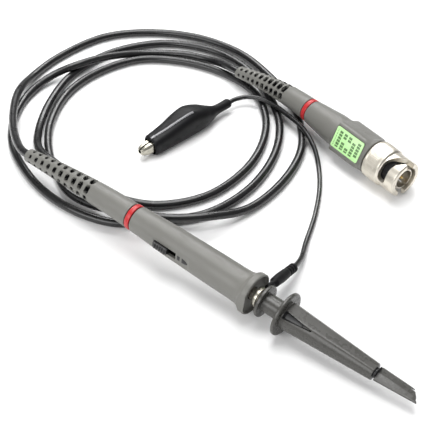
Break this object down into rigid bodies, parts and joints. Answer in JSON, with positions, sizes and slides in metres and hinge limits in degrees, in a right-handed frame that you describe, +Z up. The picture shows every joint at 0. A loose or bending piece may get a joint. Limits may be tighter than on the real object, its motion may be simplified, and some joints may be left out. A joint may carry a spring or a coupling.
{
  "type": "oscilloscope probe",
  "caption": "Passive oscilloscope probe: handle with sprung hook tip and range switch, ground lead with alligator clip, coiled coaxial cable, compensation box and BNC plug.",
  "frame": {"origin": "on the surface the probe lies on, under the middle of the probe head's length", "axes": "+X along the probe head towards the hook tip, +Y towards the cable's coil and the BNC end, +Z up"},
  "size_m": [0.2097, 0.1194, 0.0165],
  "materials": {
    "grey_plastic": "satin, finely textured",
    "cap_plastic": "satin",
    "red_plastic": "satin",
    "black_plastic": "satin",
    "nickel": "bright nickel plating",
    "gold": "gold plated",
    "steel": "drawn wire",
    "ptfe": "waxy",
    "board": "solder mask",
    "ceramic": "glazed",
    "label": "printed film",
    "cable_jacket": "glossy PVC",
    "black_rubber": "soft, satin"
  },
  "bodies": {
    "probe": {"handle": "grey_plastic", "probe_marker_ring": "red_plastic", "probe_strain_relief": "grey_plastic", "probe_cable_ferrule": "nickel", "probe_board": "board", "switch_contact": "gold", "input_resistor": "ceramic", "input_capacitor": "ceramic", "nose_bush": "black_plastic", "nose_barrel": "nickel", "nose_insulator": "ptfe", "tip_pin": "gold", "hook_base": "cap_plastic", "hook_socket": "gold", "hook_wire": "steel", "hook_spring": "steel", "ground_collar": "nickel", "ground_lead_boot": "black_rubber", "ground_lead": "cable_jacket", "clip_boot": "black_rubber", "clip_fixed_jaw": "nickel", "clip_pivot_pin": "steel", "clip_spring": "steel", "clip_ferrule": "nickel", "bnc_strain_relief": "grey_plastic", "bnc_marker_ring": "red_plastic", "compensation_box": "grey_plastic", "label_plate": "label", "compensation_board": "board", "trimmer_capacitor": "ptfe", "termination_resistor": "ceramic", "bnc_cable_ferrule": "nickel", "plug_body": "nickel", "plug_insulator": "ptfe", "plug_centre_pin": "gold", "plug_gasket": "black_rubber", "nut_spring_washer": "steel", "main_cable": "cable_jacket"},
    "sleeve": {"hook_sleeve": "cap_plastic"},
    "switch": {"switch_knob": "black_plastic"},
    "nut": {"coupling_nut": "nickel"},
    "trimmer": {"trimmer_screw": "gold"},
    "jaw": {"clip_moving_jaw": "nickel"}
  },
  "joints": [
    {"name": "sleeve_slide", "type": "slide", "parent": "probe", "child": "sleeve", "axis": [-0.9977, 0, 0.068], "range_m": [0, 0.004], "stiffness_N_per_m": 600, "springref_m": -0.003, "deforming": ["hook_spring"]},
    {"name": "switch_slide", "type": "slide", "parent": "probe", "child": "switch", "axis": [0.9977, 0, -0.068], "range_m": [0, 0.003]},
    {"name": "nut_spin", "type": "hinge", "parent": "probe", "child": "nut", "pos_m": [0.0301, 0.0776, 0.00724], "axis": [0.9742, -0.2249, -0.0209], "continuous": true},
    {"name": "trimmer_turn", "type": "hinge", "parent": "probe", "child": "trimmer", "pos_m": [0.00783, 0.08804, 0.00533], "axis": [0.1953, 0.8851, -0.4225], "continuous": true},
    {"name": "jaw_hinge", "type": "hinge", "parent": "probe", "child": "jaw", "pos_m": [-0.05339, 0.05417, 0.00375], "axis": [0, 0, -1], "range_deg": [0, 18], "stiffness_Nm_per_rad": 0.05, "springref_deg": -28.65}
  ]
}
